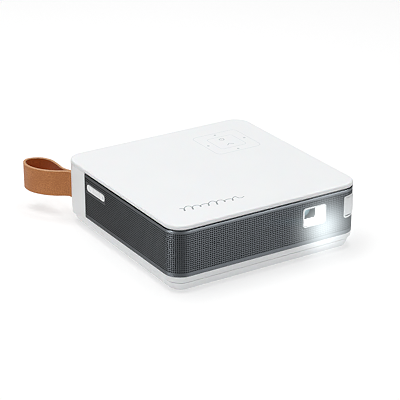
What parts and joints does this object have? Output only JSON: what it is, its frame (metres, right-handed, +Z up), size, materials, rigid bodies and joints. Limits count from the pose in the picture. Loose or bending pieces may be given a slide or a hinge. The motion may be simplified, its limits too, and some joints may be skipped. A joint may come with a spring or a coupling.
{
  "type": "home projector",
  "caption": "Square portable LED projector: white cover over a perforated metal band, lens window with corner focus wheel, rear ports and vents, tan leather carry strap",
  "frame": {"origin": "centre of the tripod socket's mouth, level with the soles of the feet and below the middle of the square case", "axes": "+X right as seen from the lens side, -Y out of the lens, +Z up"},
  "size_m": [0.1632, 0.1841, 0.0476],
  "materials": {
    "white_case": "moulded ABS, fine satin texture",
    "white_trim": "moulded ABS, smooth",
    "grille_metal": "perforated sheet, dark grey satin paint",
    "black_cloth": "woven dust cloth on a plastic frame",
    "dark_gasket": "matt",
    "feet_rubber": "matt",
    "strap_leather": "tan vegetable tanned leather, waxed edges",
    "brass": "turned",
    "steel": "ground",
    "plated_steel": "folded and plated",
    "black_plastic": "moulded, matt",
    "optical_glass": "polished and coated",
    "lens_glass": "polished and coated, lit from behind",
    "ir_plastic": "dark red window",
    "status_led": "frosted light guide",
    "cast_aluminium": "die cast",
    "fin_aluminium": "extruded",
    "copper": "bright copper",
    "circuit_board": "solder mask",
    "cell_wrap": "shrink film"
  },
  "bodies": {
    "case": {"top_cover": "white_case", "shadow_gasket": "dark_gasket", "mesh_grille": "grille_metal", "dust_screen": "black_cloth", "focus_bezel": "white_trim", "base_frame": "white_case", "bottom_cover": "white_case", "front_feet": "feet_rubber", "rear_feet": "feet_rubber", "tripod_insert": "brass", "case_screws": "steel", "rear_shell": "white_case", "ir_window": "ir_plastic", "hdmi_shell": "plated_steel", "hdmi_tongue": "black_plastic", "usb_shell": "plated_steel", "usb_tongue": "black_plastic", "audio_jack": "black_plastic", "dc_inlet": "black_plastic", "dc_pin": "plated_steel", "strap": "strap_leather", "strap_clamp": "steel", "strap_rivets": "steel", "lens_hood": "white_trim", "lens_cradle": "cast_aluminium", "guide_rods": "steel", "focus_axle": "steel", "engine_housing": "cast_aluminium", "engine_lid": "cast_aluminium", "led_red": "copper", "led_green": "copper", "led_blue": "copper", "color_combiner": "optical_glass", "optics_base": "cast_aluminium", "relay_lens": "optical_glass", "tir_prism": "optical_glass", "image_chip": "black_plastic", "heat_sink": "fin_aluminium", "heat_spreader": "copper", "heat_pipe": "copper", "fan_housing": "black_plastic", "battery_cells": "cell_wrap", "battery_tray": "black_plastic", "speaker_box": "black_plastic", "speaker_cone": "black_plastic", "main_board": "circuit_board", "board_screws": "steel", "processor_shield": "plated_steel", "wireless_module": "plated_steel", "touch_board": "circuit_board", "power_switch": "black_plastic", "switch_board": "circuit_board"},
    "power_button": {"power_button": "white_trim", "status_light": "status_led"},
    "focus_wheel": {"focus_wheel": "white_trim"},
    "lens_carriage": {"lens_barrel": "black_plastic", "front_lens": "lens_glass", "rear_lens": "optical_glass", "lens_spacer": "black_plastic"},
    "fan": {"fan_rotor": "black_plastic"}
  },
  "joints": [
    {"name": "power_press", "type": "slide", "parent": "case", "child": "power_button", "axis": [1, 0, 0], "range_m": [0, 0.0008], "stiffness_N_per_m": 400},
    {"name": "focus_turn", "type": "hinge", "parent": "case", "child": "focus_wheel", "pos_m": [0.0633, -0.0633, 0.0314], "axis": [0, 0, 1], "range_deg": [-30, 30]},
    {"name": "lens_travel", "type": "slide", "parent": "case", "child": "lens_carriage", "axis": [0, 1, 0], "range_m": [-0.00262, 0.00262]},
    {"name": "fan_spin", "type": "hinge", "parent": "case", "child": "fan", "pos_m": [0.042, 0.043, 0.027], "axis": [0, 1, 0], "continuous": true}
  ],
  "couplings": [
    {"joint": "lens_travel", "follows": "focus_turn", "m_per_rad": -0.005}
  ]
}
